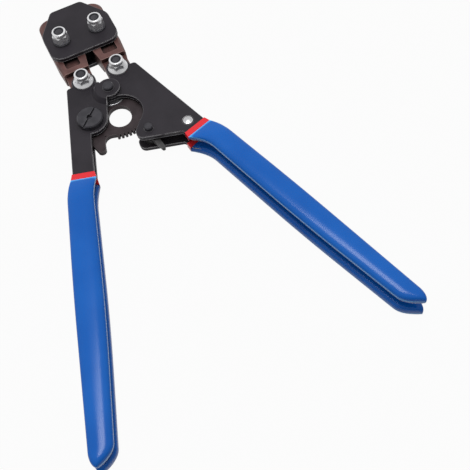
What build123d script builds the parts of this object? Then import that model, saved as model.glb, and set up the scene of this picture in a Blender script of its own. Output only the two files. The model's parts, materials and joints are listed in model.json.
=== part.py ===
from build123d import *
import os
from math import cos, radians, sin, sqrt

# Hand tool that squeezes cinch clamps on water pipe. Two handles of paired plates turn on a pivot pin and
# spread the tails of two jaws, which rock on the upper bolts of the head and close their tips.
# X runs to the right handle, Y to the jaws, Z to the front face. Millimetres, handles open.
# The origin is the middle of the back face of the pivot pin.

# Thicknesses from back to front
plate_t = 3.0            # stamped plates of handles and head
slide_gap = 0.1          # between faces that turn on each other
handle_gap = 5.9         # space between the two left plates
pin_head_t = 2.0         # back head of the pivot pin
jaw_t = 12.6
tail_side_gap = 0.15     # each side of a jaw tail between its plates
sector_t = 3.5           # toothed sector and pawl

# Fits, all on the radius or on one side
run_fit = 0.05           # turning pin in its hole
seat_fit = 0.02          # pin fixed in its hole
grip_fit = 0.05          # dipped grip over its plate
open_fit = 0.35          # right jaw on its upper bolt, which takes up the play of the linkage
near = 0.05              # faces and edges closer than this are taken as one

# Places of the pivots
lower_bolt_x = 13.1
lower_bolt_y = 15.9
upper_bolt_x = 13.55
upper_bolt_y = 56.2
adjuster_x = -20.9
adjuster_y = -18.1
rivet_x = 36.9
rivet_y = -50.7

# Handle plates, measured down the handle from the pivot and outward from its middle line
handle_angle = 17.2
plate_top = -6.8
left_outer = 29.5
left_inner = 15.3
left_waist = 40.0
right_outer = 28.8
right_inner = 12.0
right_waist = 63.6
plate_corner_r = 2.4
bolt_lobe_r = 8.6        # plate round a lower bolt
edge_break = 0.3         # small chamfer on the stamped edges

# Pivot lobes
lobe_r = 8.0             # raised lobe of the left front plate
right_lobe_r = 7.3
back_lobe_r = 5.7        # lobe of the right back plate
right_notch_r = 3.0      # notch between the right lobe and the window
back_setback = 2.0       # neck of the left back plate stands back by this from the front one
lobe_clear = 0.7         # room round the right lobe in the left front plate
neck_half_deg = 61.5     # half of the angle that the neck of the left plate takes at the pivot
neck_top_r = 13.7
step_foot_r = 12.4
step_top_r = 9.3
arm_deg = 68.0           # left edge of the right plate above the pivot

# Bulge of the left plate round the adjuster, and window and toe of the right plate
bulge_r = 11.3
bulge_deg = -23.0
window_x = -0.2
window_y = -22.0
window_r = 15.0
window_low_deg = -26.5
toe_left = 8.8           # corner of the right plate beside and below the pawl pin
toe_low = 4.8
toe_high = 2.0
toe_r = 4.5
toe_bend_r = 3.0

# Bands and grips
band_start = 65.7
band_len = 4.5
band_coat = 0.7          # on the faces of the plate
band_top_coat = 0.3      # on its edges, at the upper and at the lower end of the band
band_low_coat = 1.2
band_edge_r = 0.4
jog_gap = 0.8            # straight plate below the band
jog_len = 11.0
jog_r = 6.0
grip_flare_at = 79.2     # the grip widens up to here
grip_flare_r = 25.0
grip_top_out = 33.7      # edges of the grip below its flare
grip_top_in = 17.6
grip_bow_out = 33.8      # the outer edge bows to this place
grip_bow_out_at = 150.0
grip_bow_in = 16.3
grip_bow_in_at = 170.0
grip_bow_r = 2000.0
grip_corner = 255.6      # outer corner of the slanted end
grip_corner_out = 31.4
grip_corner_r = 4.0
grip_tip = 257.6         # lowest corner of it
grip_tip_out = 26.9
grip_tip_r = 3.0
grip_heel = 247.0        # inner corner of it
grip_heel_out = 18.2
grip_heel_r = 8.0
grip_side = 1.9          # coat on the edges of the tang
grip_coat = 4.2          # coat on its outer face
grip_gap_coat = 1.4      # coat on its face beside the gap between the two plates
grip_slope_len = 18.0    # the coat on the outer face grows over this length
grip_roll_r = 2.6        # edges of the outer face
grip_lip_r = 1.6         # edges beside the gap
tang_short = 4.0         # tang ends this far before the heel of the grip
tang_r = 3.0

# Head plates
head_half = 25.5
head_back_half = 21.8    # the back plate is narrower than the jaws
head_bottom = 39.6
head_top = 87.0
head_side_y = 66.8
head_top_half = 11.8
head_low_r = 9.0
head_side_r = 12.0
head_top_r = 4.0

# Jaws, drawn for the right one
jaw_half = 24.6
jaw_low_half = 23.6      # outer edge at the step
jaw_side_y = 41.0
jaw_side_r = 12.0
jaw_top = 85.7
jaw_shoulder_r = 8.8
jaw_bend_r = 1.6
jaw_step_y = 27.9        # full thickness above, tail below
jaw_inner = 2.4
jaw_inner_low = 4.8      # inner edge at the step
jaw_bend_y = 43.0
throat_y = 70.0
throat_half = 7.4
throat_rise = 4.5
tail_r = 8.2
tail_heel = 1.3          # the outer side of the tail stands out by this much more
tail_edge = 1.0          # tail stands this far inside the jaw side
tail_lap = 2.0
tip_t = 7.0
tip_top = 92.0
tip_half_gap = 5.0       # half of the open mouth
tip_root_y = 78.0
tip_w = 4.6
tip_root_w = 9.5
tip_slope_y = 84.5
tip_r = 0.8
pocket_inner = 8.8
pocket_outer = 19.6
pocket_low = 32.2
pocket_high = 47.0
pocket_depth = 2.6
pocket_r = 1.6
jaw_chamfer = 1.6

# Bolts, lock nuts and washers
shoulder_r = 4.0
thread_r = 3.0
bolt_head_r = 6.6
bolt_head_t = 2.8
bolt_head_edge_r = 0.7
bolt_socket = 5.0        # across flats
bolt_socket_depth = 1.5
thread_chamfer = 0.6
nut_flats = 10.0
nut_hex_h = 6.0
nut_dome_r = 10.7        # foot of the cone that rounds the corners of the hexagon
nut_h = 8.8
nut_collar_r = 5.0
nut_collar_edge_r = 0.8
nut_well_r = 3.7         # well at the top that holds the lock insert
nut_well_depth = 2.0
insert_sunk = 0.4
bolt_sunk = 0.3
flange_r = 7.1
flange_rim_h = 1.1
flange_h = 2.8
flange_top_r = 5.3
washer_r = 6.2
washer_t = 1.2
tail_spacer_wall = 4.0

# Pins and rivets
pin_r = 3.7
pin_head_r = 5.6
pin_head_chamfer = 1.6
pin_proud = 2.6
pin_chamfer = 0.6
bush_r = 7.0             # bush between the plates, which guides the return spring
pawl_pin_r = 2.95
pawl_pin_proud = 3.0
small_head_r = 5.0
small_head_t = 1.6
pawl_spacer_r = 4.5
plate_rivet_r = 3.35
plate_rivet_ring = 0.4   # open ring round the rivet in the front plate
plate_rivet_proud = 0.4
plate_rivet_edge_r = 0.6
sleeve_r = 5.2

# Adjuster screw, with an eccentric journal that carries the sector
screw_head_r = 8.8
screw_head_t = 4.0
screw_head_chamfer = 0.7
screw_slot_w = 1.5
screw_slot_depth = 1.6
screw_slot_deg = 42.7
screw_eye_r = 2.0
screw_eye_depth = 2.4
journal_r = 5.0
journal_offset = 0.5
journal_clear = 0.1
journal_gap = 0.15       # between the journal and the left back plate
screw_shank_r = 3.0
adjuster_nut_t = 3.6

# Toothed sector, in degrees about the pivot
sector_bore_clear = 0.8  # round the return spring
sector_base_r = 35.7
tooth_h = 2.0
tooth_count = 6
tooth_first_deg = -82.4
tooth_pitch_deg = 4.2
tooth_base_half_deg = 1.9
tooth_tip_half_deg = 1.1
sector_right_deg = -68.0
sector_margin = 3.5      # the sector reaches this far under the rim of the window
sector_left_deg = -121.0
sector_boss_r = 9.2
hole_x = -1.5
hole_y = -21.4
hole_r = 7.75
hole_stretch = 2.8
hole_deg = 81.0
dowel_x = -29.5
dowel_y = -24.5
dowel_r = 2.4
dowel_boss_r = 5.4
blind_depth = 1.8        # blind holes in the plates for dowel and spring pins
tail_tip_x = -22.7
tail_tip_y = -40.7
tail_tip_r = 2.9
tail_heel_x = -22.6
tail_heel_y = -32.5
tail_heel_r = 5.0
tail_foot_x = -12.0
hollow_x = -13.8         # round hollow between the tail and the teeth
hollow_y = -38.6
hollow_r = 5.3

# Pawl, whose pin lies outside the tooth tips
pawl_reach = 7.36
pawl_deg = -75.87        # direction of its pin from the pivot
pawl_hub_r = 4.2
pawl_nose_len = 7.9
pawl_nose_deg = 75.0     # direction of the nose from its pin
pawl_nose_half = 0.5
pawl_nose_root = 3.2
tab_deg = -77.0
tab_len = 16.8
tab_root_half = 2.7
tab_tip_half = 1.2
leaf_t = 0.6
leaf_w = 3.6
leaf_gap = 0.2

# Return spring round the pivot pin
wire_r = 0.7
coil_r = 9.5
coil_turns = 2
coil_steps = 10          # arcs that the coil is drawn with
coil_side_gap = 0.3
leg_deg = 40.0           # the legs leave the coil at this angle on each side of the top
leg_len = 6.5
spring_pin_r = 1.1
spring_pin_reach = 5.0   # along the leg
spring_pin_gap = 0.15
spring_pin_len = 2.6

# Levels
right_back_z = pin_head_t
left_back_z = right_back_z + plate_t + slide_gap
inside_z = left_back_z + plate_t
front_z = inside_z + handle_gap
front_top = front_z + plate_t
lobe_z = front_top + slide_gap
lobe_top = lobe_z + plate_t
mid_z = inside_z + handle_gap / 2
jaw_back = mid_z - jaw_t / 2
jaw_front = mid_z + jaw_t / 2
head_back_z = jaw_back - slide_gap - plate_t
head_front_z = jaw_front + slide_gap
head_front_top = head_front_z + plate_t
tail_t = handle_gap - 2 * tail_side_gap
sector_z = mid_z - sector_t / 2

# Handle lengths that follow from the sizes above
grip_start = band_start + band_len
jog_start = grip_start + jog_gap
jog_end = jog_start + jog_len
tang_end = grip_heel - tang_short
plate_edges = {-1: (left_inner, left_outer), 1: (right_inner, right_outer)}

# Place of the pawl pin
tooth_tip_r = sector_base_r + tooth_h
pawl_x = (tooth_tip_r + pawl_reach) * cos(radians(pawl_deg))
pawl_y = (tooth_tip_r + pawl_reach) * sin(radians(pawl_deg))


def slab(face, z, height):
    return extrude(Pos(0, 0, z) * face, amount=height, dir=(0, 0, 1))


def disc(x, y, r):
    return Pos(x, y) * Circle(r)


def rod(x, y, z, r, height):
    return slab(disc(x, y, r), z, height)


def outline(corners):
    """Closed face from corners given as x, y and the radius of the corner."""
    points = [(x, y) for x, y, r in corners]
    return make_face(FilletPolyline(*points, radius=[r for x, y, r in corners], close=True))


def polar(r, deg, x=0.0, y=0.0):
    return x + r * cos(radians(deg)), y + r * sin(radians(deg))


def on_handle(along, out, side):
    """Place on the left (side -1) or right (side 1) handle."""
    turn = radians(handle_angle)
    return side * (along * sin(turn) + out * cos(turn)), out * sin(turn) - along * cos(turn)


def handle_rim(side, waist):
    """Corners of a handle plate from its top down the outer edge, round the tang and up the inner edge."""
    inner, outer = plate_edges[side]
    places = [
        (plate_top, outer, plate_corner_r),
        (jog_start, outer, jog_r),
        (jog_end, grip_top_out - grip_side, jog_r),
        (tang_end, grip_corner_out - grip_side, tang_r),
        (tang_end, grip_heel_out + grip_side, tang_r),
        (jog_end, grip_top_in + grip_side, jog_r),
        (jog_start, inner, jog_r),
        (waist, inner, plate_corner_r),
    ]
    return [(*on_handle(along, out, side), r) for along, out, r in places]


def left_face(setback):
    web = [
        (adjuster_x, adjuster_y, 0),
        (*polar(bulge_r - setback, bulge_deg, adjuster_x, adjuster_y), 0),
        (*polar(step_foot_r, 180 + neck_half_deg, -setback), 0),
        (0, 0, 0),
        (*polar(neck_top_r, 180 - neck_half_deg), 0),
        (-lower_bolt_x, lower_bolt_y, 0),
    ]
    face = outline(handle_rim(-1, left_waist) + web)
    face += disc(adjuster_x, adjuster_y, bulge_r - setback)
    face += disc(-lower_bolt_x, lower_bolt_y, bolt_lobe_r)
    return face


def right_face(pivot_lobe_r):
    """Face of a right plate, whose window grows by as much as the lobe is smaller."""
    toe_x = pawl_x - toe_left
    opening_r = window_r + right_lobe_r - pivot_lobe_r
    web = [
        (toe_x, pawl_y - toe_low, toe_r),
        (toe_x, pawl_y + toe_high, toe_bend_r),
        (*polar(opening_r, window_low_deg, window_x, window_y), 0),
        (window_x, window_y, 0),
        (0, 0, 0),
        (*polar(neck_top_r, arm_deg), 0),
        (lower_bolt_x, lower_bolt_y, 0),
    ]
    face = outline(handle_rim(1, right_waist) + web)
    face -= disc(window_x, window_y, opening_r)
    face += disc(0, 0, pivot_lobe_r)
    face += disc(lower_bolt_x, lower_bolt_y, bolt_lobe_r)
    under_lobe = face.vertices().sort_by_distance((0, -pivot_lobe_r, 0))[0]
    return fillet(under_lobe, right_notch_r)


def break_edges(plate, z):
    """Chamfer the rim of a plate on its face at height z."""
    face = [f for f in plate.faces().filter_by(Plane.XY) if abs(f.center().Z - z) < near]
    rims = [edge for f in face for edge in f.outer_wire().edges()]
    return chamfer(rims, edge_break)


def left_front_plate(face):
    step_t = lobe_top - front_top
    room_r = right_lobe_r + lobe_clear
    plate = break_edges(slab(face, front_z, plate_t), front_top)
    cone = Pos(0, 0, front_top + step_t / 2) * Cone(step_foot_r, step_top_r, step_t)
    raised = slab(face + disc(0, 0, lobe_r), front_top, step_t) & cone
    raised = break_edges(raised, lobe_top)
    plate += raised
    plate -= rod(0, 0, front_z, room_r, plate_t + slide_gap)
    plate -= rod(0, 0, front_z, pin_r + seat_fit, lobe_top - front_z)
    plate -= rod(-lower_bolt_x, lower_bolt_y, front_z, shoulder_r + run_fit, plate_t)
    plate -= rod(adjuster_x, adjuster_y, front_z, journal_r + journal_offset + journal_clear, plate_t)
    plate -= rod(dowel_x, dowel_y, front_z, dowel_r + seat_fit, blind_depth)
    return plate


def left_back_plate(face):
    pin_x, pin_y = spring_pin_place(-1)
    plate = break_edges(slab(face + disc(0, 0, lobe_r), left_back_z, plate_t), left_back_z)
    plate -= rod(0, 0, left_back_z, pin_r + seat_fit, plate_t)
    plate -= rod(-lower_bolt_x, lower_bolt_y, left_back_z, shoulder_r + run_fit, plate_t)
    plate -= rod(adjuster_x, adjuster_y, left_back_z, screw_shank_r + run_fit, plate_t)
    plate -= rod(dowel_x, dowel_y, left_back_z, dowel_r + seat_fit, plate_t)
    plate -= rod(pin_x, pin_y, inside_z - blind_depth, spring_pin_r + seat_fit, blind_depth)
    return plate


def right_plate(face, z, outer_z, rivet_hole_r):
    plate = break_edges(slab(face, z, plate_t), outer_z)
    plate -= rod(0, 0, z, pin_r + run_fit, plate_t)
    plate -= rod(lower_bolt_x, lower_bolt_y, z, shoulder_r + run_fit, plate_t)
    plate -= rod(pawl_x, pawl_y, z, pawl_pin_r + seat_fit, plate_t)
    plate -= rod(rivet_x, rivet_y, z, rivet_hole_r, plate_t)
    return plate


def right_front_plate(face):
    pin_x, pin_y = spring_pin_place(1)
    plate = right_plate(face, front_z, front_top, plate_rivet_r + plate_rivet_ring)
    return plate - rod(pin_x, pin_y, front_z, spring_pin_r + seat_fit, blind_depth)


def right_back_plate(face):
    return right_plate(face, right_back_z, right_back_z, plate_rivet_r + seat_fit)


def band(side, z):
    """Red ring round one plate just above its grip, wider at its lower end."""
    inner, outer = plate_edges[side]

    def block(top_coat, low_coat, face_coat, start, length):
        corners = [
            (start, outer + top_coat),
            (start + length, outer + low_coat),
            (start + length, inner - low_coat),
            (start, inner - top_coat),
        ]
        face = make_face(Polyline(*[on_handle(along, out, side) for along, out in corners], close=True))
        return slab(face, z - face_coat, plate_t + 2 * face_coat)
    ring = block(band_top_coat, band_low_coat, band_coat, band_start, band_len)
    ring = fillet(ring.edges().filter_by(lambda e: e.length > 2 * band_len), band_edge_r)
    return ring - block(grip_fit, grip_fit, grip_fit, band_start - band_len, 3 * band_len)


def grip_rims(sleeve, z, side):
    """Edges of the grip's face at height z, apart from the one beside the band."""
    upward = Vector(*on_handle(-1, 0, side))
    face = [f for f in sleeve.faces().filter_by(Plane.XY) if abs(f.center().Z - z) < near][0]
    return face.outer_wire().edges().sort_by(lambda e: e.center().dot(upward))[:-1]


def grip(side, z, plate, front):
    """Dipped sleeve round the tang of a front plate or a back plate."""
    inner, outer = plate_edges[side]
    places = [
        (grip_start, outer + band_low_coat, 0),
        (grip_flare_at, grip_top_out, grip_flare_r),
        (grip_bow_out_at, grip_bow_out, grip_bow_r),
        (grip_corner, grip_corner_out, grip_corner_r),
        (grip_tip, grip_tip_out, grip_tip_r),
        (grip_heel, grip_heel_out, grip_heel_r),
        (grip_bow_in_at, grip_bow_in, grip_bow_r),
        (grip_flare_at, grip_top_in, grip_flare_r),
        (grip_start, inner - band_low_coat, 0),
    ]
    face = outline([(*on_handle(along, out, side), r) for along, out, r in places])
    outward = 1 if front else -1
    plate_face = z + plate_t if front else z
    gap_z = z - grip_gap_coat if front else z + plate_t + grip_gap_coat
    face_z = plate_face + outward * grip_coat
    sleeve = slab(face, min(gap_z, face_z), abs(face_z - gap_z))
    sleeve = fillet(grip_rims(sleeve, face_z, side), grip_roll_r)
    sleeve = fillet(grip_rims(sleeve, gap_z, side), grip_lip_r)
    sleeve -= above_slope(side, plate_face + outward * band_coat, outward * (grip_coat - band_coat))
    tang = offset(under_grip(plate, side), amount=grip_fit)
    return sleeve - slab(tang, z - grip_fit, plate_t + 2 * grip_fit)


def above_slope(side, start_z, rise):
    """Wedge over the slope on which the grip rises from the band to its full height."""
    turn = radians(handle_angle)
    across = (-cos(turn), -side * sin(turn), 0)
    along_handle = Plane((0, 0, 0), x_dir=(*on_handle(1, 0, side), 0), z_dir=across)
    face = make_face(Polyline(
        (grip_start - grip_slope_len, start_z - rise),
        (grip_start + 2 * grip_slope_len, start_z + 2 * rise),
        (grip_start - grip_slope_len, start_z + 2 * rise),
        close=True))
    return extrude(along_handle * face, amount=grip_tip, both=True)


def under_grip(face, side):
    """Part of a plate's face that the grip covers."""
    corners = [
        (grip_start - band_len, -grip_tip),
        (grip_start - band_len, grip_tip),
        (grip_tip, grip_tip),
        (grip_tip, -grip_tip),
    ]
    return face & make_face(Polyline(*[on_handle(along, out, side) for along, out in corners], close=True))


def head_plate(half, z, outer_z):
    face = outline([
        (half, head_bottom, head_low_r),
        (half, head_side_y, head_side_r),
        (head_top_half, head_top, head_top_r),
        (-head_top_half, head_top, head_top_r),
        (-half, head_side_y, head_side_r),
        (-half, head_bottom, head_low_r),
    ])
    plate = break_edges(slab(face, z, plate_t), outer_z)
    for side in (-1, 1):
        plate -= rod(side * upper_bolt_x, upper_bolt_y, z, shoulder_r + run_fit, plate_t)
    return plate


def jaw(upper_fit):
    """Right jaw: full body under the head plates, thin tail between the handle plates, thin tip."""
    body = slab(outline([
        (jaw_inner_low, jaw_step_y, 0),
        (jaw_inner, jaw_bend_y, jaw_bend_r),
        (jaw_inner, throat_y, jaw_bend_r),
        (throat_half, throat_y + throat_rise, jaw_bend_r),
        (throat_half, jaw_top, 0),
        (jaw_half, jaw_top, jaw_shoulder_r),
        (jaw_half, jaw_side_y, jaw_side_r),
        (jaw_low_half, jaw_step_y, 0),
    ]), jaw_back, jaw_t)
    outer = body.edges().filter_by(
        lambda e: e.center().X > jaw_half - jaw_shoulder_r / 2
        and abs(abs(e.center().Z - mid_z) - jaw_t / 2) < near
        and e.center().Y > jaw_step_y + near)
    body = chamfer(outer, jaw_chamfer)
    heel_x = lower_bolt_x + tail_heel
    tail_face = make_face(Polyline(
        (lower_bolt_x - tail_r, lower_bolt_y),
        (jaw_inner_low, jaw_step_y + tail_lap),
        (jaw_low_half - tail_edge, jaw_step_y + tail_lap),
        (heel_x + tail_r, lower_bolt_y),
        close=True))
    tail_face += disc(lower_bolt_x, lower_bolt_y, tail_r) + disc(heel_x, lower_bolt_y, tail_r)
    body += slab(tail_face, mid_z - tail_t / 2, tail_t)
    body += slab(outline([
        (tip_half_gap, tip_root_y, 0),
        (tip_half_gap, tip_top, tip_r),
        (tip_half_gap + tip_w, tip_top, tip_r),
        (tip_half_gap + tip_root_w, tip_slope_y, tip_r),
        (tip_half_gap + tip_root_w, tip_root_y, 0),
    ]), mid_z - tip_t / 2, tip_t)
    pocket = outline([
        (pocket_inner, pocket_low, pocket_r),
        (pocket_outer, pocket_low, pocket_r),
        (pocket_outer, pocket_high, pocket_r),
        (pocket_inner, pocket_high, pocket_r),
    ])
    body -= slab(pocket, jaw_front - pocket_depth, pocket_depth)
    body -= slab(pocket, jaw_back, pocket_depth)
    body -= rod(lower_bolt_x, lower_bolt_y, jaw_back, shoulder_r + run_fit, jaw_t)
    body -= rod(upper_bolt_x, upper_bolt_y, jaw_back, shoulder_r + upper_fit, jaw_t)
    return body


def bolt(x, y, seat, land, nut_top):
    """Shoulder bolt with its head below seat, its shoulder up to land and its end just under nut_top."""
    head = rod(0, 0, seat - bolt_head_t, bolt_head_r, bolt_head_t)
    head = fillet(head.edges().group_by(Axis.Z)[0], bolt_head_edge_r)
    socket = RegularPolygon(bolt_socket / 2, 6, major_radius=False)
    head -= slab(socket, seat - bolt_head_t, bolt_socket_depth)
    shoulder = rod(0, 0, seat, shoulder_r, land - seat)
    thread = rod(0, 0, land, thread_r, nut_top - bolt_sunk - land)
    thread = chamfer(thread.edges().group_by(Axis.Z)[-1], thread_chamfer)
    return Pos(x, y, 0) * (head + shoulder + thread)


def lock_nut(x, y, z, flanged):
    """Hexagon nut with a round collar that holds a lock insert."""
    standing = (Align.CENTER, Align.CENTER, Align.MIN)
    hexagon = slab(RegularPolygon(nut_flats / 2, 6, major_radius=False), 0, nut_hex_h)
    dome = Cone(nut_dome_r, nut_collar_r, nut_hex_h, align=standing)
    collar = fillet(rod(0, 0, 0, nut_collar_r, nut_h).edges().group_by(Axis.Z)[-1], nut_collar_edge_r)
    nut = (hexagon & dome) + collar
    if flanged:
        slope_h = flange_h - flange_rim_h
        slope = Cone(flange_r, flange_top_r, slope_h, align=standing)
        nut += rod(0, 0, 0, flange_r, flange_rim_h) + Pos(0, 0, flange_rim_h) * slope
    nut -= rod(0, 0, 0, thread_r + run_fit, nut_h)
    nut -= rod(0, 0, nut_h - nut_well_depth, nut_well_r, nut_well_depth)
    return Pos(x, y, z) * nut


def lock_insert(x, y, z):
    height = nut_well_depth - insert_sunk
    ring = Circle(nut_well_r - seat_fit) - Circle(thread_r + run_fit)
    return Pos(x, y, 0) * slab(ring, z + nut_h - nut_well_depth, height)


def washer(x, y, z):
    return Pos(x, y, 0) * slab(Circle(washer_r) - Circle(thread_r + run_fit), z, washer_t)


def headed_pin(x, y, r, top, head_r, head_t, head_chamfer):
    """Pin with a flat head behind the right back plate and a chamfered front end at top."""
    shank = rod(x, y, right_back_z, r, top - right_back_z)
    shank = chamfer(shank.edges().group_by(Axis.Z)[-1], pin_chamfer)
    head = rod(x, y, right_back_z - head_t, head_r, head_t)
    return shank + chamfer(head.edges().group_by(Axis.Z)[0], head_chamfer)


def plate_rivet():
    head = rod(rivet_x, rivet_y, right_back_z - small_head_t, small_head_r, small_head_t)
    head = chamfer(head.edges().group_by(Axis.Z)[0], pin_chamfer)
    top = front_top + plate_rivet_proud
    shank = rod(rivet_x, rivet_y, right_back_z, plate_rivet_r, top - right_back_z)
    dome = fillet(shank.edges().group_by(Axis.Z)[-1], plate_rivet_edge_r)
    return head + dome


def ring_between(x, y, z, top, outer_r, inner_r):
    return Pos(x, y, 0) * slab(Circle(outer_r) - Circle(inner_r), z, top - z)


def adjuster_screw():
    head = rod(0, 0, front_top, screw_head_r, screw_head_t)
    head = chamfer(head.edges().group_by(Axis.Z)[-1], screw_head_chamfer)
    head_top = front_top + screw_head_t
    slot = Rot(0, 0, screw_slot_deg) * Rectangle(3 * screw_head_r, screw_slot_w)
    head -= slab(slot, head_top - screw_slot_depth, screw_slot_depth)
    head -= rod(0, 0, head_top - screw_eye_depth, screw_eye_r, screw_eye_depth)
    journal_z = inside_z + journal_gap
    journal = rod(journal_offset, 0, journal_z, journal_r, front_top - journal_z)
    end_z = left_back_z - adjuster_nut_t
    shank = rod(0, 0, end_z, screw_shank_r, journal_z - end_z)
    shank = chamfer(shank.edges().group_by(Axis.Z)[0], pin_chamfer)
    return Pos(adjuster_x, adjuster_y, 0) * (head + journal + shank)


def adjuster_nut():
    face = RegularPolygon(nut_flats / 2, 6, major_radius=False) - Circle(screw_shank_r + run_fit)
    nut = slab(face, left_back_z - adjuster_nut_t, adjuster_nut_t - slide_gap)
    return Pos(adjuster_x, adjuster_y, 0) * nut


def bar(x1, y1, r1, x2, y2, r2):
    """Straight bar with round ends of its own radius at each end."""
    length = sqrt((x2 - x1) ** 2 + (y2 - y1) ** 2)
    nx = (y1 - y2) / length
    ny = (x2 - x1) / length
    sides = make_face(Polyline(
        (x1 + nx * r1, y1 + ny * r1),
        (x2 + nx * r2, y2 + ny * r2),
        (x2 - nx * r2, y2 - ny * r2),
        (x1 - nx * r1, y1 - ny * r1),
        close=True))
    return sides + disc(x1, y1, r1) + disc(x2, y2, r2)


def sector():
    left_end = polar(sector_base_r, sector_left_deg)
    right_end = polar(sector_base_r, sector_right_deg)
    rim = RadiusArc(left_end, right_end, -sector_base_r)
    fan = make_face(Line((0, 0), left_end) + rim + Line(right_end, (0, 0)))
    for i in range(tooth_count):
        deg = tooth_first_deg - i * tooth_pitch_deg
        root_r = sector_base_r * cos(radians(tooth_base_half_deg)) - near
        fan += make_face(Polyline(
            polar(root_r, deg - tooth_base_half_deg),
            polar(tooth_tip_r, deg - tooth_tip_half_deg),
            polar(tooth_tip_r, deg + tooth_tip_half_deg),
            polar(root_r, deg + tooth_base_half_deg),
            close=True))
    fan += bar(tail_heel_x, tail_heel_y, tail_heel_r, tail_tip_x, tail_tip_y, tail_tip_r)
    crotch = make_face(Polyline(
        (tail_heel_x, tail_heel_y),
        (tail_foot_x, tail_heel_y),
        (tail_foot_x, hollow_y),
        (tail_heel_x, hollow_y),
        close=True))
    fan += crotch - disc(hollow_x, hollow_y, hollow_r)
    fan += bar(tail_heel_x, tail_heel_y, tail_heel_r, dowel_x, dowel_y, dowel_boss_r)
    fan += bar(adjuster_x, adjuster_y, sector_boss_r, dowel_x, dowel_y, dowel_boss_r)
    fan += bar(adjuster_x, adjuster_y, sector_boss_r, tail_heel_x, tail_heel_y, tail_heel_r)
    web_x = hole_x + hole_r * cos(radians(sector_left_deg))
    fan += bar(adjuster_x, adjuster_y, sector_boss_r, web_x, hole_y, hole_r)
    fan += disc(window_x, window_y, window_r + sector_margin) & disc(0, 0, sector_base_r)
    fan -= disc(0, 0, coil_r + wire_r + sector_bore_clear)
    fan -= Pos(hole_x, hole_y) * Rot(0, 0, hole_deg) * SlotCenterToCenter(hole_stretch, 2 * hole_r)
    fan -= disc(adjuster_x, adjuster_y, journal_r + journal_offset + journal_clear)
    fan -= disc(dowel_x, dowel_y, dowel_r + seat_fit)
    return slab(fan, sector_z, sector_t)


def pawl():
    nose_x, nose_y = polar(pawl_nose_len - pawl_nose_half, pawl_nose_deg, pawl_x, pawl_y)
    tab_x, tab_y = polar(tab_len - tab_tip_half, tab_deg, pawl_x, pawl_y)
    face = disc(pawl_x, pawl_y, pawl_hub_r)
    face += bar(pawl_x, pawl_y, pawl_nose_root, nose_x, nose_y, pawl_nose_half)
    face += bar(pawl_x, pawl_y, tab_root_half, tab_x, tab_y, tab_tip_half)
    face -= disc(pawl_x, pawl_y, pawl_pin_r + run_fit)
    return slab(face, sector_z, sector_t)


def pawl_spring():
    """Flat spring that is curled round the rivet sleeve and rides on the hub of the pawl."""
    curl_r = sleeve_r + seat_fit
    start_x, start_y = rivet_x, rivet_y + curl_r + leaf_t / 2
    reach = pawl_hub_r + leaf_gap + leaf_t / 2
    end_x, end_y = pawl_x + reach, pawl_y
    strip = bar(start_x, start_y, leaf_t / 2, end_x, end_y, leaf_t / 2)
    strip += disc(rivet_x, rivet_y, curl_r + leaf_t)
    strip -= disc(rivet_x, rivet_y, curl_r)
    return slab(strip, mid_z - leaf_w / 2, leaf_w)


def spring_pin_place(side):
    """Place of the pin that the left (side -1) or right (side 1) leg of the return spring pushes on."""
    off = coil_r + wire_r + spring_pin_gap + spring_pin_r
    out_x, out_y = polar(off, 90 - side * leg_deg)
    return polar(spring_pin_reach, -side * leg_deg + (180 if side < 0 else 0), out_x, out_y)


def biarc(p1, t1, p2, t2):
    """Two arcs that leave p1 along t1 and reach p2 along t2."""
    gap = p2 - p1
    both = t1 + t2
    a = 2 * (t1.dot(t2) - 1)
    b = -2 * gap.dot(both)
    c = gap.dot(gap)
    reach = (-b - sqrt(b * b - 4 * a * c)) / (2 * a)
    middle = (p1 + t1 * reach + p2 - t2 * reach) * 0.5
    toward = (p2 - t2 * reach - p1 - t1 * reach).normalized()
    return [TangentArc(p1, middle, tangent=t1), TangentArc(middle, p2, tangent=toward)]


def return_spring():
    """Wound spring whose legs lie under the two spring pins beside the pivot pin."""
    low = inside_z + coil_side_gap + wire_r
    high = front_z - coil_side_gap - wire_r
    wound_deg = 360 * coil_turns + 2 * leg_deg
    step_deg = wound_deg / coil_steps
    rise = (high - low) / coil_steps
    slope = rise / (coil_r * radians(step_deg))
    places = []
    for i in range(coil_steps + 1):
        deg = 90 - leg_deg + i * step_deg
        tilt = 0 if i in (0, coil_steps) else -slope
        place = Vector(*polar(coil_r, deg), high - i * rise)
        places.append((place, Vector(*polar(1, deg + 90), tilt).normalized()))
    first, first_way = places[0]
    last, last_way = places[-1]
    edges = [Line(first - first_way * leg_len, first)]
    for (p1, t1), (p2, t2) in zip(places, places[1:]):
        edges += biarc(p1, t1, p2, t2)
    edges.append(Line(last, last + last_way * leg_len))
    path = Wire(edges)
    print("least gap between the turns", round((high - low) * 360 / wound_deg - 2 * wire_r, 2))
    return sweep(Plane(path @ 0, z_dir=path % 0) * Circle(wire_r), path=path)


def mirrored(shape):
    return mirror(shape, about=Plane.YZ)


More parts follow.
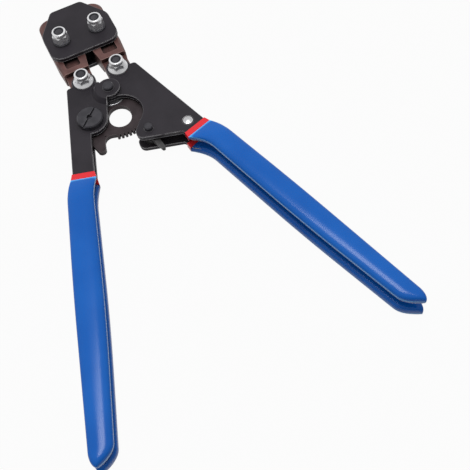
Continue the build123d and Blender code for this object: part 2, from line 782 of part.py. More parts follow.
def build():
    nut_seat = front_top
    upper_nut_seat = head_front_top + washer_t
    left = left_face(0)
    left_back = left_face(back_setback)
    right = right_face(right_lobe_r)
    right_back = right_face(back_lobe_r)
    pin_top = lobe_top + pin_proud
    pawl_pin_top = front_top + pawl_pin_proud
    back_top = right_back_z + plate_t
    sleeve_bore = plate_rivet_r + seat_fit
    spacer_r = shoulder_r + tail_spacer_wall
    right_bore = shoulder_r + run_fit
    tail_z = mid_z - tail_t / 2
    left_pin_x, left_pin_y = spring_pin_place(-1)
    right_pin_x, right_pin_y = spring_pin_place(1)
    parts = {
        "left_front_plate": left_front_plate(left),
        "left_back_plate": left_back_plate(left_back),
        "right_front_plate": right_front_plate(right),
        "right_back_plate": right_back_plate(right_back),
        "left_front_grip": grip(-1, front_z, left, True),
        "left_back_grip": grip(-1, left_back_z, left, False),
        "right_front_grip": grip(1, front_z, right, True),
        "right_back_grip": grip(1, right_back_z, right, False),
        "left_front_band": band(-1, front_z),
        "left_back_band": band(-1, left_back_z),
        "right_front_band": band(1, front_z),
        "right_back_band": band(1, right_back_z),
        "head_front_plate": head_plate(head_half, head_front_z, head_front_top),
        "head_back_plate": head_plate(head_back_half, head_back_z, head_back_z),
        "left_jaw": mirrored(jaw(run_fit)),
        "right_jaw": jaw(open_fit),
        "lower_left_bolt": bolt(-lower_bolt_x, lower_bolt_y, left_back_z, nut_seat, nut_seat + nut_h),
        "lower_right_bolt": bolt(lower_bolt_x, lower_bolt_y, right_back_z, nut_seat, nut_seat + nut_h),
        "lower_left_nut": lock_nut(-lower_bolt_x, lower_bolt_y, nut_seat, True),
        "lower_right_nut": lock_nut(lower_bolt_x, lower_bolt_y, nut_seat, True),
        "lower_left_insert": lock_insert(-lower_bolt_x, lower_bolt_y, nut_seat),
        "lower_right_insert": lock_insert(lower_bolt_x, lower_bolt_y, nut_seat),
        "right_tail_spacer": ring_between(
            lower_bolt_x, lower_bolt_y, back_top, tail_z - slide_gap, spacer_r, right_bore),
        "upper_bolts": Compound(children=[
            bolt(side * upper_bolt_x, upper_bolt_y, head_back_z, head_front_top, upper_nut_seat + nut_h)
            for side in (-1, 1)]),
        "upper_washers": Compound(children=[
            washer(side * upper_bolt_x, upper_bolt_y, head_front_top) for side in (-1, 1)]),
        "upper_nuts": Compound(children=[
            lock_nut(side * upper_bolt_x, upper_bolt_y, upper_nut_seat, False) for side in (-1, 1)]),
        "upper_inserts": Compound(children=[
            lock_insert(side * upper_bolt_x, upper_bolt_y, upper_nut_seat) for side in (-1, 1)]),
        "pivot_pin": headed_pin(0, 0, pin_r, pin_top, pin_head_r, pin_head_t, pin_head_chamfer),
        "pivot_bush": ring_between(0, 0, inside_z, front_z - slide_gap, bush_r, pin_r + seat_fit),
        "return_spring": return_spring(),
        "left_spring_pin": rod(
            left_pin_x, left_pin_y, inside_z - blind_depth, spring_pin_r, blind_depth + spring_pin_len),
        "right_spring_pin": rod(
            right_pin_x, right_pin_y, front_z - spring_pin_len, spring_pin_r, blind_depth + spring_pin_len),
        "ratchet_sector": sector(),
        "sector_dowel": rod(dowel_x, dowel_y, left_back_z, dowel_r, front_z + blind_depth - left_back_z),
        "adjuster_screw": adjuster_screw(),
        "adjuster_nut": adjuster_nut(),
        "ratchet_pawl": pawl(),
        "pawl_pin": headed_pin(
            pawl_x, pawl_y, pawl_pin_r, pawl_pin_top, small_head_r, small_head_t, pin_chamfer),
        "pawl_spacer": ring_between(
            pawl_x, pawl_y, back_top, sector_z - slide_gap, pawl_spacer_r, pawl_pin_r + seat_fit),
        "pawl_spring": pawl_spring(),
        "plate_rivet": plate_rivet(),
        "rivet_sleeve": ring_between(rivet_x, rivet_y, back_top, front_z, sleeve_r, sleeve_bore),
    }
    os.makedirs("parts", exist_ok=True)
    for name, shape in parts.items():
        export_step(shape, f"parts/{name}.step")


build()
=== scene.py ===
import json
from math import copysign, cos, pi, radians, sin, sqrt

import bmesh
import bpy
from mathutils import Matrix, Vector


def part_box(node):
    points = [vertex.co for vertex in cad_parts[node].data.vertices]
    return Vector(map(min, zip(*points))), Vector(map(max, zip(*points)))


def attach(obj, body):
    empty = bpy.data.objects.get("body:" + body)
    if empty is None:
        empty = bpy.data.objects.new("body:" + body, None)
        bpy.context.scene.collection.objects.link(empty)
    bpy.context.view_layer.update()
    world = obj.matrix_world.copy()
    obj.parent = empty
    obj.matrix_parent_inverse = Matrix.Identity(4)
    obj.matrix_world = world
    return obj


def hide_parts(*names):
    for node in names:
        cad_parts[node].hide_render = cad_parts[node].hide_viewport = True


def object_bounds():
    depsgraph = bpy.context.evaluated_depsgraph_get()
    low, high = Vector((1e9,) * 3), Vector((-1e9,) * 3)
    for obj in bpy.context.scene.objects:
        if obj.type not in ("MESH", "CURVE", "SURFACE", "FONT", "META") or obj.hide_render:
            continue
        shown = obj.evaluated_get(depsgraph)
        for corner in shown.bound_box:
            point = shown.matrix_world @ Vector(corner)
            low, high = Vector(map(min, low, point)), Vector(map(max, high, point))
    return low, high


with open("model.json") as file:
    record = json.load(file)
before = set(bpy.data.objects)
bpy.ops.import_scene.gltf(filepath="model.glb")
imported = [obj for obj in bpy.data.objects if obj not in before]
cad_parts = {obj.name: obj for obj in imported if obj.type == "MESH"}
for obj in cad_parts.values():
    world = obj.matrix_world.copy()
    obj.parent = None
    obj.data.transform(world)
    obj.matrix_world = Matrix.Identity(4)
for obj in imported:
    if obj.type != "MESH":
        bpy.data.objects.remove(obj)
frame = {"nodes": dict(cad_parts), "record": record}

# Squeeze tool for cinch clamps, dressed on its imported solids. X runs to the right handle, Y to the jaws and
# Z to the front. The tool lies on its back. Lengths are in metres.

mm = 0.001
cad_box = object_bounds()
nodes = frame["nodes"]
left = -1
right = 1

# Handles, measured down the handle from the pivot and outward from its middle line
handle_angle = radians(17.2)
plate_t = 3.0 * mm
plate_edges = {left: (15.3 * mm, 29.5 * mm), right: (12.0 * mm, 28.8 * mm)}     # inner and outer edge

# Dipped grips
grip_start = 70.2 * mm
grip_flare = 88.0 * mm          # full width and thickness from here
grip_flare_at = 79.2 * mm       # the straight edges start here
grip_top_out = 33.7 * mm
grip_top_in = 17.4 * mm
grip_bow_out = 33.8 * mm        # the edges bow to these places
grip_bow_out_at = 150.0 * mm
grip_bow_in = 16.05 * mm
grip_bow_in_at = 170.0 * mm
bow_reach = 30.0 * mm           # a bow is rounded over this length on each side
grip_corner = 248.0 * mm        # the outer edge starts to close on the tip
grip_corner_out = 31.7 * mm
grip_heel = {left: 249.5 * mm, right: 247.0 * mm}       # inner corner of the slanted end
grip_heel_out = 17.9 * mm
heel_reach = 5.0 * mm           # the heel is rounded over this length on each side
thicker_dip = {left: 0.6 * mm, right: -0.3 * mm}        # added to the vinyl on the inner edge
grip_nose = 254.5 * mm          # the slanted edge starts to close on the tip
grip_tip = 256.8 * mm
grip_tip_out = 27.0 * mm
tip_roll = 6.0 * mm             # the faces close over this length
grip_coat = 4.2 * mm            # over the outer face of the tang
gap_coat = 1.4 * mm             # over its face beside the gap
band_coat = 0.7 * mm            # over the plate beside the red band
band_side_coat = 1.2 * mm
rim_rise = 3.7 * mm             # from the plate's face beside the gap to the widest place
gap_middle = 9.5 * mm           # height of the middle of the gap between the right grips
rim_from_middle = 8.2 * mm      # from there to the rim of the front grips and of the right back grip
rim_line = 0.65 * mm            # the painted highlight line fades out this far from the rim

# Sections of the grips. A power of 2 gives an oval, and a higher one is squarer.
square_power = 4.0              # beside the band
dome_power = 2.2                # outer face of the straight length
lip_power = {True: 2.7, False: 4.0}     # its face beside the gap, on a front grip and on a back grip
roll_power = 2.2                # rolled end
ring_points = 96
flare_rings = 24
straight_rings = 110
slant_rings = 20
tip_rings = 24
half_grid = 0.5                 # the flat grid that becomes the skin reaches this far from its middle
weld = 0.001 * mm               # points that lie this close are joined

# Return spring round the pivot pin
wire_r = 0.7 * mm
wire_points = 20
coil_r = 9.5 * mm
coil_turns = 2
turn_steps = 64
leg_len = 6.5 * mm
leg_angle = radians(40)         # the legs leave the coil this far on each side of the top

# Dome hammered on the end of the plate rivet
dome_r = 5.8 * mm
dome_rise = 0.9 * mm
dome_sunk = 0.2 * mm            # its foot lies this far below the top of the rivet
dome_segments = 96

# Wear with a painted highlight along the edges, and darker corners
mask_samples = 8
flat_turn = 0.995               # cosine between the face and the rounded edge where the edge mask starts
edge_turn = 0.93                # and where it is full
deep_behind = 0.98              # open share behind the face where an edge starts to stand out
thin_behind = 0.8               # and where it stands out in full
patch_kept = 0.2                # noise at which a patch of the edge mask starts
patch_rubbed_and_lit = 0.5              # and at which it is full
held_and_lit_turn = 0.5                 # an edge that faces -Y by this cosine gets the full mask, wear and painted highlight
away_share = 0.25                 # share of the mask on an edge that doesn't face -Y
cloud_low = 0.3                 # noise at which the slow change starts and ends
cloud_high = 0.7
grain_detail = 2.0
open_corner = 0.75              # open share at which a corner starts to darken
deep_corner = 0.3               # and at which it is fully dark
wave_scale = 70.0
wave_detail = 1.0

# Camera at the photograph's angle
camera_at = Vector((-54.1, -375.0, 442.15)) * mm
camera_target = Vector((26.6, -141.6, 11.05)) * mm
camera_roll = radians(-8.32)
camera_lens = 61.45             # millimetres, on a 36 millimetre frame
camera_near = 10 * mm

# Stage
floor_size = 60.0
floor_gap = 0.2 * mm
floor_tone = 0.25               # grey of the floor for the light that it throws back
shadow_share = 0.04             # part of the shadow on the floor that the camera sees
bright_side = Vector((0, 0.6, 0.8))     # the room is brightest above and behind the tool
bright_turn = 0.9               # cosine to the bright side within which the room is fully bright
dim_turn = -0.3                 # and past which it is fully dim
room_bright = 0.82
room_dim = 0.26                 # on the side of the camera
lamp_at = Vector((-10, 10, 950)) * mm
lamp_size = (360 * mm, 300 * mm)
lamp_watts = 3.8

# Sockets of the Mix node that hold colours, where several share a name
colour_a = 6
colour_b = 7
colour_out = 2


def on_handle(along, out, side):
    """Place on the left or right handle."""
    x = side * (along * sin(handle_angle) + out * cos(handle_angle))
    return Vector((x, out * sin(handle_angle) - along * cos(handle_angle), 0))


def blend(a, b, share):
    return a + (b - a) * share


def power(value, exponent):
    """Power that keeps the sign of the value."""
    return copysign(abs(value) ** exponent, value)


# Node helpers

def add(tree, kind, inputs=(), **settings):
    """New node. Inputs are values or the sockets of other nodes."""
    node = tree.nodes.new(kind)
    for name, value in settings.items():
        setattr(node, name, value)
    for name, value in dict(inputs).items():
        if isinstance(value, bpy.types.NodeSocket):
            tree.links.new(value, node.inputs[name])
        else:
            node.inputs[name].default_value = value
    return node


def math(tree, operation, a, b=0.0, clamp=False):
    return add(tree, "ShaderNodeMath", {0: a, 1: b}, operation=operation, use_clamp=clamp).outputs[0]


def facing(tree, a, b):
    """Cosine of the angle between two directions."""
    return add(tree, "ShaderNodeVectorMath", {0: a, 1: b}, operation="DOT_PRODUCT").outputs["Value"]


def ramp(tree, value, low, high, to_low=0.0, to_high=1.0):
    """Value that goes smoothly from to_low to to_high while the given one goes from low to high."""
    inputs = {"Value": value, "From Min": low, "From Max": high, "To Min": to_low, "To Max": to_high}
    return add(tree, "ShaderNodeMapRange", inputs, interpolation_type="SMOOTHSTEP").outputs["Result"]


def spread(tree, share, low, high):
    """Value that is low where the share is 0 and high where it is 1."""
    return ramp(tree, share, 0, 1, low, high)


def mix(tree, share, a, b):
    """Colour between a and b, which are colours or the sockets of other nodes."""
    node = add(tree, "ShaderNodeMix", {"Factor": share}, data_type="RGBA")
    for socket, value in ((node.inputs[colour_a], a), (node.inputs[colour_b], b)):
        if isinstance(value, bpy.types.NodeSocket):
            tree.links.new(value, socket)
        else:
            socket.default_value = (*value, 1)
    return node.outputs[colour_out]


def group(name, inputs, outputs):
    """New shader group with value inputs. Gives its tree, its input node and its output node."""
    tree = bpy.data.node_groups.new(name, "ShaderNodeTree")
    for label, value in inputs.items():
        socket = tree.interface.new_socket(label, in_out="INPUT", socket_type="NodeSocketFloat")
        socket.default_value = value
    for label in outputs:
        tree.interface.new_socket(label, in_out="OUTPUT", socket_type="NodeSocketFloat")
    return tree, add(tree, "NodeGroupInput"), add(tree, "NodeGroupOutput")


def place(tree):
    """Place on the piece, in metres."""
    return add(tree, "ShaderNodeTexCoord").outputs["Object"]


def noise(tree, where, scale, detail=3.0):
    inputs = {"Vector": where, "Scale": scale, "Detail": detail}
    return add(tree, "ShaderNodeTexNoise", inputs).outputs["Fac"]


def bump(tree, height, depth):
    return add(tree, "ShaderNodeBump", {"Height": height, "Distance": depth}).outputs[0]


# Shader groups that several finishes use

def make_edge_wear_and_highlight():
    """Mask of the outer edges, strongest where they face -Y. It stands for wear and, on the edges that face
    -Y, for a painted highlight.
    """
    tree, given, out = group("edge_wear_and_highlight", {"Width": 0.4 * mm, "Patch": 250.0, "Amount": 1.0}, ["Mask"])
    width = given.outputs["Width"]
    rounded = add(tree, "ShaderNodeBevel", {"Radius": width}, samples=mask_samples).outputs[0]
    flat = add(tree, "ShaderNodeNewGeometry").outputs["Normal"]
    bent = ramp(tree, facing(tree, rounded, flat), flat_turn, edge_turn)
    behind = add(
        tree, "ShaderNodeAmbientOcclusion", {"Distance": width},
        samples=mask_samples, inside=True, only_local=True).outputs["AO"]
    edge = math(tree, "MULTIPLY", bent, ramp(tree, behind, deep_behind, thin_behind))
    patches = ramp(tree, noise(tree, place(tree), given.outputs["Patch"]), patch_kept, patch_rubbed_and_lit)
    # painted highlight as well as wear: the mask is strongest on edges facing -Y
    held_and_lit = ramp(tree, facing(tree, rounded, (0, -1, 0)), 0.0, held_and_lit_turn, away_share, 1.0)
    rubbed_and_lit = math(tree, "MULTIPLY", math(tree, "MULTIPLY", patches, held_and_lit), given.outputs["Amount"])
    mask = math(tree, "MULTIPLY", edge, rubbed_and_lit, clamp=True)
    tree.links.new(mask, out.inputs["Mask"])
    return tree


def make_mottle():
    """Slow change over the surface, and the fine grain on top of it, both from 0 to 1."""
    tree, given, out = group("mottle", {"Patch": 60.0, "Grain": 1500.0}, ["Patches", "Grain"])
    where = place(tree)
    patches = ramp(tree, noise(tree, where, given.outputs["Patch"]), cloud_low, cloud_high)
    grain = noise(tree, where, given.outputs["Grain"], grain_detail)
    tree.links.new(patches, out.inputs["Patches"])
    tree.links.new(grain, out.inputs["Grain"])
    return tree


def make_crevice():
    """Mask of the closed-in corners, which the finishes darken. On the grips and the hard steel it is painted
    shade.
    """
    tree, given, out = group("crevice", {"Reach": 4 * mm, "Amount": 1.0}, ["Mask"])
    reach = {"Distance": given.outputs["Reach"]}
    shelter = add(tree, "ShaderNodeAmbientOcclusion", reach, samples=mask_samples).outputs["AO"]
    dark = ramp(tree, shelter, open_corner, deep_corner)
    mask = math(tree, "MULTIPLY", dark, given.outputs["Amount"], clamp=True)
    tree.links.new(mask, out.inputs["Mask"])
    return tree


edge_wear_and_highlight = make_edge_wear_and_highlight()
mottle = make_mottle()
crevice = make_crevice()


def use(tree, shared, **values):
    """Put a shared group in a finish, with its own values."""
    return add(tree, "ShaderNodeGroup", values, node_tree=shared).outputs


def finish(name, shine=0.5, metallic=0.0):
    """New finish. Gives its material, its tree and its shader."""
    material = bpy.data.materials.new(name)
    material.use_nodes = True
    shader = material.node_tree.nodes["Principled BSDF"]
    shader.inputs["Specular IOR Level"].default_value = shine
    shader.inputs["Metallic"].default_value = metallic
    return material, material.node_tree, shader


def drive(tree, shader, **sockets):
    """Link values that change over the surface to the shader."""
    for label, value in sockets.items():
        tree.links.new(value, shader.inputs[label.replace("_", " ").title()])


# Finishes

def black_coat():
    """Satin black coat on the stamped plates, pale along the edges from wear and a painted highlight, darker
    in the corners.
    """
    deep = (0.016, 0.0135, 0.0180)
    light = (0.024, 0.0205, 0.0265)
    corner_colour = (0.004, 0.004, 0.005)
    # pale edge colour: metal showing through wear, and a painted highlight
    bare_and_lit = (0.50, 0.49, 0.50)
    material, tree, shader = finish("black_coat", shine=0.22)
    cloud = use(tree, mottle, Patch=45.0, Grain=2200.0)
    worn_and_lit = use(tree, edge_wear_and_highlight, Width=0.8 * mm, Patch=160.0, Amount=1.0)
    coat_corners = use(tree, crevice, Reach=3 * mm, Amount=0.5)
    coat = mix(tree, coat_corners["Mask"], mix(tree, cloud["Patches"], deep, light), corner_colour)
    drive(tree, shader,
          base_color=mix(tree, worn_and_lit["Mask"], coat, bare_and_lit),
          roughness=spread(tree, cloud["Patches"], low=0.42, high=0.52),
          normal=bump(tree, cloud["Grain"], depth=0.02 * mm))
    return material


def black_oxide():
    """Blackened turned steel: bolts, pins, washers and the adjuster."""
    deep = (0.025, 0.024, 0.030)
    light = (0.040, 0.038, 0.046)
    # pale edge colour: wear and a painted highlight
    bare_and_lit = (0.20, 0.20, 0.21)
    material, tree, shader = finish("black_oxide", shine=0.35)
    cloud = use(tree, mottle, Patch=180.0, Grain=3500.0)
    worn_and_lit = use(tree, edge_wear_and_highlight, Width=0.3 * mm, Patch=300.0, Amount=0.8)
    coat = mix(tree, cloud["Patches"], deep, light)
    drive(tree, shader,
          base_color=mix(tree, worn_and_lit["Mask"], coat, bare_and_lit),
          roughness=spread(tree, cloud["Patches"], low=0.32, high=0.45),
          normal=bump(tree, cloud["Grain"], depth=0.01 * mm))
    return material


def brown_oxide():
    """Red brown skin of the forged jaws, pale along the edges from wear and a painted highlight, darker in
    the corners.
    """
    deep = (0.092, 0.038, 0.034)
    light = (0.146, 0.065, 0.057)
    corner_colour = (0.007, 0.004, 0.004)
    # pale edge colour: wear and a painted highlight
    bare_and_lit = (0.42, 0.27, 0.24)
    material, tree, shader = finish("brown_oxide", metallic=0.25)
    cloud = use(tree, mottle, Patch=120.0, Grain=1800.0)
    worn_and_lit = use(tree, edge_wear_and_highlight, Width=0.7 * mm, Patch=120.0, Amount=0.9)
    dark_corners = use(tree, crevice, Reach=10 * mm, Amount=1.0)
    skin = mix(tree, dark_corners["Mask"], mix(tree, cloud["Patches"], deep, light), corner_colour)
    drive(tree, shader,
          base_color=mix(tree, worn_and_lit["Mask"], skin, bare_and_lit),
          roughness=spread(tree, cloud["Patches"], low=0.38, high=0.55),
          normal=bump(tree, cloud["Grain"], depth=0.03 * mm))
    return material


def hard_steel(name, deep, light):
    """Hardened steel of the sector and the pawl, pale along the edges from wear and a painted highlight, with
    painted shade in the corners.
    """
    corner_colour = (0.005, 0.004, 0.004)
    # pale edge colour: wear and a painted highlight
    bare_and_lit = (0.22, 0.19, 0.19)
    material, tree, shader = finish(name, shine=0.3, metallic=0.1)
    cloud = use(tree, mottle, Patch=150.0, Grain=2600.0)
    worn_and_lit = use(tree, edge_wear_and_highlight, Width=0.3 * mm, Patch=250.0, Amount=0.7)
    # painted shade: darkens the corners and the steel under the plates' edges
    dark_corners = use(tree, crevice, Reach=6 * mm, Amount=0.9)
    skin = mix(tree, dark_corners["Mask"], mix(tree, cloud["Patches"], deep, light), corner_colour)
    drive(tree, shader,
          base_color=mix(tree, worn_and_lit["Mask"], skin, bare_and_lit),
          roughness=spread(tree, cloud["Patches"], low=0.38, high=0.5),
          normal=bump(tree, cloud["Grain"], depth=0.015 * mm))
    return material


def zinc_plate(name, deep, light):
    """Zinc plate on the nuts and the plate rivet."""
    corner_colour = (0.18, 0.18, 0.19)
    material, tree, shader = finish(name, metallic=0.7)
    cloud = use(tree, mottle, Patch=350.0, Grain=5000.0)
    zinc_corners = use(tree, crevice, Reach=2 * mm, Amount=0.15)
    plate = mix(tree, cloud["Patches"], deep, light)
    drive(tree, shader,
          base_color=mix(tree, zinc_corners["Mask"], plate, corner_colour),
          roughness=spread(tree, cloud["Patches"], low=0.20, high=0.32),
          normal=bump(tree, cloud["Grain"], depth=0.006 * mm))
    return material


def dark_nylon():
    """Lock inserts in the nuts."""
    deep = (0.016, 0.017, 0.022)
    light = (0.030, 0.032, 0.040)
    material, tree, shader = finish("dark_nylon")
    cloud = use(tree, mottle, Patch=400.0, Grain=4000.0)
    drive(tree, shader,
          base_color=mix(tree, cloud["Patches"], deep, light),
          roughness=spread(tree, cloud["Patches"], low=0.4, high=0.55),
          normal=bump(tree, cloud["Grain"], depth=0.01 * mm))
    return material


def drawn_wire():
    """Oiled spring steel."""
    deep = (0.26, 0.26, 0.27)
    light = (0.42, 0.42, 0.43)
    material, tree, shader = finish("drawn_wire", metallic=0.9)
    cloud = use(tree, mottle, Patch=500.0, Grain=6000.0)
    drive(tree, shader,
          base_color=mix(tree, cloud["Patches"], deep, light),
          roughness=spread(tree, cloud["Patches"], low=0.25, high=0.4),
          normal=bump(tree, cloud["Grain"], depth=0.008 * mm))
    return material


def dipped_vinyl(name, deep, light, shade, rim=None):
    """Glossy vinyl with the slow waves that it sets in, with painted shade in the gap. The rim can have its
    own colour, a painted highlight on the blue grips.
    """
    material, tree, shader = finish(name, shine=0.22)
    cloud = use(tree, mottle, Patch=30.0)
    # painted shade: the gap between front and back grip is darkened to the shade colour
    gap = use(tree, crevice, Reach=9 * mm, Amount=0.95)
    waves = noise(tree, place(tree), wave_scale, wave_detail)
    skin = mix(tree, gap["Mask"], mix(tree, cloud["Patches"], deep, light), shade)
    # painted highlight: a pale line painted along the rim's height
    if rim:
        height = add(tree, "ShaderNodeSeparateXYZ", {0: place(tree)}).outputs["Z"]
        from_middle = math(tree, "ABSOLUTE", math(tree, "SUBTRACT", height, gap_middle))
        from_rim = math(tree, "ABSOLUTE", math(tree, "SUBTRACT", from_middle, rim_from_middle))
        skin = mix(tree, ramp(tree, from_rim, rim_line, 0.0), skin, rim)
    drive(tree, shader,
          base_color=skin,
          roughness=spread(tree, cloud["Patches"], low=0.19, high=0.23),
          normal=bump(tree, waves, depth=0.02 * mm))
    return material


def blue_vinyl(name, rim=None):
    """Vinyl of the grips."""
    return dipped_vinyl(
        name, deep=(0.003, 0.096, 0.425), light=(0.005, 0.114, 0.475), shade=(0.0005, 0.006, 0.030), rim=rim)


def red_vinyl():
    """Vinyl of the bands. The outer faces of three of them lie as high as a rim and show its colour."""
    return dipped_vinyl(
        "red_vinyl", deep=(0.72, 0.024, 0.034), light=(0.80, 0.034, 0.042), shade=(0.060, 0.002, 0.003),
        rim=(0.74, 0.03, 0.04))


finishes = {
    "black_plate": black_coat(),
    "black_hardware": black_oxide(),
    "brown_steel": brown_oxide(),
    "sector_steel": hard_steel("brown_hard_steel", deep=(0.024, 0.0155, 0.018), light=(0.038, 0.026, 0.029)),
    "pawl_steel": hard_steel("grey_hard_steel", deep=(0.036, 0.035, 0.036), light=(0.060, 0.058, 0.060)),
    "zinc": zinc_plate("bright_zinc", deep=(0.77, 0.77, 0.79), light=(0.86, 0.86, 0.87)),
    "lock_insert": dark_nylon(),
    "spring_steel": drawn_wire(),
    # its rim colour is a painted highlight line
    "blue_grip": blue_vinyl("blue_vinyl", rim=(0.10, 0.50, 1.00)),
    "red_band": red_vinyl(),
}


def dress_solids():
    """Give each solid the finish of its slot."""
    for subpart in frame["record"]["subparts"]:
        solid = nodes[subpart["node"]]
        solid.data.materials.clear()
        solid.data.materials.append(finishes[subpart["material_slot"]])


# Pieces

def new_piece(name, mesh, body, slot, stands_for=None):
    """Object from a finished bmesh, riding on a body, in place of a solid if one is named."""
    bmesh.ops.recalc_face_normals(mesh, faces=mesh.faces)
    data = bpy.data.meshes.new(name)
    mesh.to_mesh(data)
    mesh.free()
    data.shade_smooth()
    data.materials.append(finishes[slot])
    piece = bpy.data.objects.new(name, data)
    bpy.context.scene.collection.objects.link(piece)
    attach(piece, body)
    if stands_for:
        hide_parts(stands_for)
    return piece


def close_holes(mesh):
    bmesh.ops.holes_fill(mesh, edges=[edge for edge in mesh.edges if edge.is_boundary])


def rings_between(start, end, count):
    """Even places from start on, without the end."""
    return [blend(start, end, i / count) for i in range(count)]


def settled(along):
    """0 beside the band and 1 where the grip has its full size, growing fast at first."""
    rest = 1 - min((along - grip_start) / (grip_flare - grip_start), 1)
    return 1 - rest * rest


def past_bend(along, at, reach):
    """Length run past a bend, which is rounded over reach on each side."""
    past = along - at
    return past if past > reach else max(past + reach, 0) ** 2 / (4 * reach)


def closed(along, start, edge):
    """Edge that closes in a round on the tip from start on."""
    past = max((along - start) / (grip_tip - start), 0)
    return blend(grip_tip_out, edge, sqrt(1 - past * past))


def outer_edge(along):
    """Outer edge of a grip, bowed out and then closing on the tip."""
    upper = (grip_bow_out - grip_top_out) / (grip_bow_out_at - grip_flare_at)
    lower = (grip_corner_out - grip_bow_out) / (grip_corner - grip_bow_out_at)
    edge = grip_top_out + upper * (along - grip_flare_at)
    edge += (lower - upper) * past_bend(along, grip_bow_out_at, bow_reach)
    return closed(along, grip_corner, edge)


def inner_edge(along, side):
    """Inner edge of a grip, bowed in and then slanting from the heel to the tip."""
    heel = grip_heel[side]
    upper = (grip_bow_in - grip_top_in) / (grip_bow_in_at - grip_flare_at)
    lower = (grip_heel_out - grip_bow_in) / (heel - grip_bow_in_at)
    slant = (grip_tip_out - grip_heel_out) / (grip_tip - heel)
    edge = grip_top_in + upper * (along - grip_flare_at)
    edge += (lower - upper) * past_bend(along, grip_bow_in_at, bow_reach)
    edge += (slant - lower) * past_bend(along, heel, heel_reach)
    return closed(along, grip_nose, edge - thicker_dip[side])


def grip_point(along, turn, side, gap_z, front):
    """Place on the skin of a grip, whose section is domed from its rim to the outer face."""
    grown = settled(along)
    inner, outer = plate_edges[side]
    out_edge = blend(outer + band_side_coat, outer_edge(along), grown)
    in_edge = blend(inner - band_side_coat, inner_edge(along, side), grown)
    outward = 1 if front else -1
    rim = gap_z + outward * (gap_coat + rim_rise)
    roll = max((along - grip_tip) / tip_roll + 1, 0)
    open_share = (1 - roll ** roll_power) ** (1 / roll_power)
    across = cos(turn)
    up = sin(turn)
    if up > 0:
        depth = blend(band_coat, grip_coat, grown) + plate_t - rim_rise
        bend = blend(square_power, dome_power, grown)
    else:
        depth = blend(band_coat, gap_coat, grown) + rim_rise
        bend = blend(square_power, lip_power[front], grown)
    share = power(across, 2 / bend)
    out = (out_edge + in_edge) / 2 + (out_edge - in_edge) / 2 * share
    height = depth * open_share * power(up, 2 / bend)
    return on_handle(along, out, side) + Vector((0, 0, rim + outward * height))


def dipped_grip(node, side, front):
    """Vinyl sleeve that grows from its band and ends in a slant, longer on the outer side."""
    low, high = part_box(node)
    gap_z = low.z if front else high.z
    slant_start = grip_heel[side] - 2 * heel_reach
    stations = rings_between(grip_start, grip_flare, flare_rings)
    stations += rings_between(grip_flare, slant_start, straight_rings)
    stations += rings_between(slant_start, grip_corner, slant_rings)
    for i in range(tip_rings + 1):
        stations.append(blend(grip_corner, grip_tip, sin(i / tip_rings * pi / 2)))
    steps = len(stations) - 1
    mesh = bmesh.new()
    bmesh.ops.create_grid(mesh, x_segments=ring_points, y_segments=steps, size=half_grid)
    # The grid's X runs once round the section, and its Y down the handle
    for vert in mesh.verts:
        along = stations[round((vert.co.y + half_grid) * steps)]
        vert.co = grip_point(along, 2 * pi * vert.co.x, side, gap_z, front)
    bmesh.ops.remove_doubles(mesh, verts=mesh.verts, dist=weld)
    close_holes(mesh)
    body = "left_handle" if side == left else "right_handle"
    return new_piece(f"dipped_{node}", mesh, body, "blue_grip", node)


def plain_grip(node, side, front):
    """Grip that lies at another height than the painted highlight line on the rim is for, so it has none."""
    grip = dipped_grip(node, side, front)
    grip.data.materials[0] = blue_vinyl("plain_blue_vinyl")
    return grip


def only(kind, geometry):
    return [item for item in geometry if isinstance(item, kind)]


def wound_spring():
    """Turns round the pivot pin, with a straight leg at each end."""
    low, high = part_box("return_spring")
    top = high.z - wire_r
    bottom = low.z + wire_r
    vert = bmesh.types.BMVert
    edge = bmesh.types.BMEdge
    mesh = bmesh.new()
    ring = bmesh.ops.create_circle(mesh, segments=wire_points, radius=wire_r)["verts"]
    bmesh.ops.rotate(mesh, verts=ring, matrix=Matrix.Rotation(pi / 2, 3, "Y"))
    bmesh.ops.translate(mesh, verts=ring, vec=(leg_len, coil_r, top))
    leg = bmesh.ops.extrude_edge_only(mesh, edges=mesh.edges[:])["geom"]
    bmesh.ops.translate(mesh, verts=only(vert, leg), vec=(-leg_len, 0, 0))
    wound = 2 * pi * coil_turns + 2 * leg_angle
    steps = round(turn_steps * wound / (2 * pi))
    end = bmesh.ops.spin(
        mesh, geom=only((vert, edge), leg), cent=(0, 0, 0), axis=(0, 0, 1),
        dvec=(0, 0, (bottom - top) / steps), angle=wound, steps=steps)["geom_last"]
    last = bmesh.ops.extrude_edge_only(mesh, edges=only(edge, end))["geom"]
    last_leg = Matrix.Rotation(wound, 3, "Z") @ Vector((-leg_len, 0, 0))
    bmesh.ops.translate(mesh, verts=only(vert, last), vec=last_leg)
    close_holes(mesh)
    bmesh.ops.rotate(mesh, verts=mesh.verts, matrix=Matrix.Rotation(-leg_angle, 3, "Z"), cent=(0, 0, 0))
    return new_piece("wound_spring", mesh, "left_handle", "spring_steel", "return_spring")


def rivet_dome():
    """Cap of a ball on the front end of the plate rivet."""
    low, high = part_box("plate_rivet")
    middle = (low + high) / 2
    foot = dome_r - dome_rise
    mesh = bmesh.new()
    bmesh.ops.create_uvsphere(mesh, u_segments=dome_segments, v_segments=dome_segments, radius=dome_r)
    ball = mesh.verts[:] + mesh.edges[:] + mesh.faces[:]
    bmesh.ops.bisect_plane(mesh, geom=ball, plane_co=(0, 0, foot), plane_no=(0, 0, -1), clear_outer=True)
    close_holes(mesh)
    bmesh.ops.translate(mesh, verts=mesh.verts, vec=(middle.x, middle.y, high.z - dome_sunk - foot))
    dome = new_piece("rivet_dome", mesh, "right_handle", "zinc")
    # darker copy of the bright zinc: painted shade on the dome
    dome.data.materials[0] = zinc_plate("shaded_zinc", deep=(0.50, 0.50, 0.52), light=(0.64, 0.64, 0.65))
    return dome


# Stage

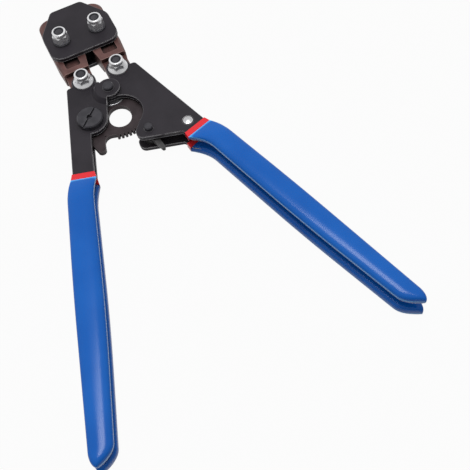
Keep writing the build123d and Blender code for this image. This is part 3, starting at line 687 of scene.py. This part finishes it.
def seen_directly(tree):
    """1 for what the camera, a reflection or a transparent piece sees, 0 for light that only brightens."""
    path = add(tree, "ShaderNodeLightPath").outputs
    mirrored = math(tree, "ADD", path["Is Glossy Ray"], path["Is Transmission Ray"])
    return math(tree, "ADD", path["Is Camera Ray"], mirrored, clamp=True)


def soft_room():
    """Room that is bright above and behind the tool and dim on the side of the camera."""
    world = bpy.data.worlds.new("soft_room")
    world.use_nodes = True
    tree = world.node_tree
    shade = tree.nodes["Background"]
    shade.inputs["Color"].default_value = (1, 1, 1, 1)
    toward = add(tree, "ShaderNodeTexCoord").outputs["Generated"]
    glow = ramp(tree, facing(tree, toward, bright_side), dim_turn, bright_turn, room_dim, room_bright)
    tree.links.new(glow, shade.inputs["Strength"])
    bpy.context.scene.world = world


def pale_floor_finish():
    """White to the camera and in reflections, apart from a share of the shadow, and grey for other light."""
    material = bpy.data.materials.new("pale_floor")
    material.use_nodes = True
    tree = material.node_tree
    tree.nodes.remove(tree.nodes["Principled BSDF"])
    matt = add(tree, "ShaderNodeBsdfDiffuse", {"Color": (floor_tone, floor_tone, floor_tone, 1)}).outputs[0]
    white = add(tree, "ShaderNodeEmission", {"Strength": 1.0}).outputs[0]
    share = math(tree, "MULTIPLY", seen_directly(tree), 1 - shadow_share)
    both = add(tree, "ShaderNodeMixShader", {0: share, 1: matt, 2: white}).outputs[0]
    tree.links.new(both, tree.nodes["Material Output"].inputs["Surface"])
    return material


def pale_floor():
    """Wide floor just under the tool."""
    mesh = bmesh.new()
    bmesh.ops.create_grid(mesh, x_segments=1, y_segments=1, size=floor_size / 2)
    bmesh.ops.translate(mesh, verts=mesh.verts, vec=(0, 0, cad_box[0][2] - floor_gap))
    data = bpy.data.meshes.new("pale_floor")
    mesh.to_mesh(data)
    mesh.free()
    data.materials.append(pale_floor_finish())
    floor = bpy.data.objects.new("pale_floor", data)
    bpy.context.scene.collection.objects.link(floor)


def overhead_lamp():
    """Soft lamp over the tool, whose reflection runs along the grips."""
    lamp = bpy.data.lights.new("overhead_lamp", "AREA")
    lamp.shape = "RECTANGLE"
    lamp.size, lamp.size_y = lamp_size
    lamp.energy = lamp_watts
    holder = bpy.data.objects.new("overhead_lamp", lamp)
    holder.location = lamp_at
    bpy.context.scene.collection.objects.link(holder)


def photo_camera():
    """Camera that looks at its target, rolled round its line of sight."""
    data = bpy.data.cameras.new("photo_camera")
    data.lens = camera_lens
    data.clip_start = camera_near
    camera = bpy.data.objects.new("photo_camera", data)
    turn = (camera_target - camera_at).to_track_quat("-Z", "Y").to_matrix().to_4x4()
    camera.matrix_world = Matrix.Translation(camera_at) @ turn @ Matrix.Rotation(camera_roll, 4, "Z")
    bpy.context.scene.collection.objects.link(camera)
    bpy.context.scene.camera = camera


bpy.context.scene.view_settings.view_transform = "Standard"
dress_solids()
dipped_grip("left_front_grip", left, front=True)
plain_grip("left_back_grip", left, front=False)
dipped_grip("right_front_grip", right, front=True)
dipped_grip("right_back_grip", right, front=False)
wound_spring()
rivet_dome()
soft_room()
pale_floor()
overhead_lamp()
photo_camera()
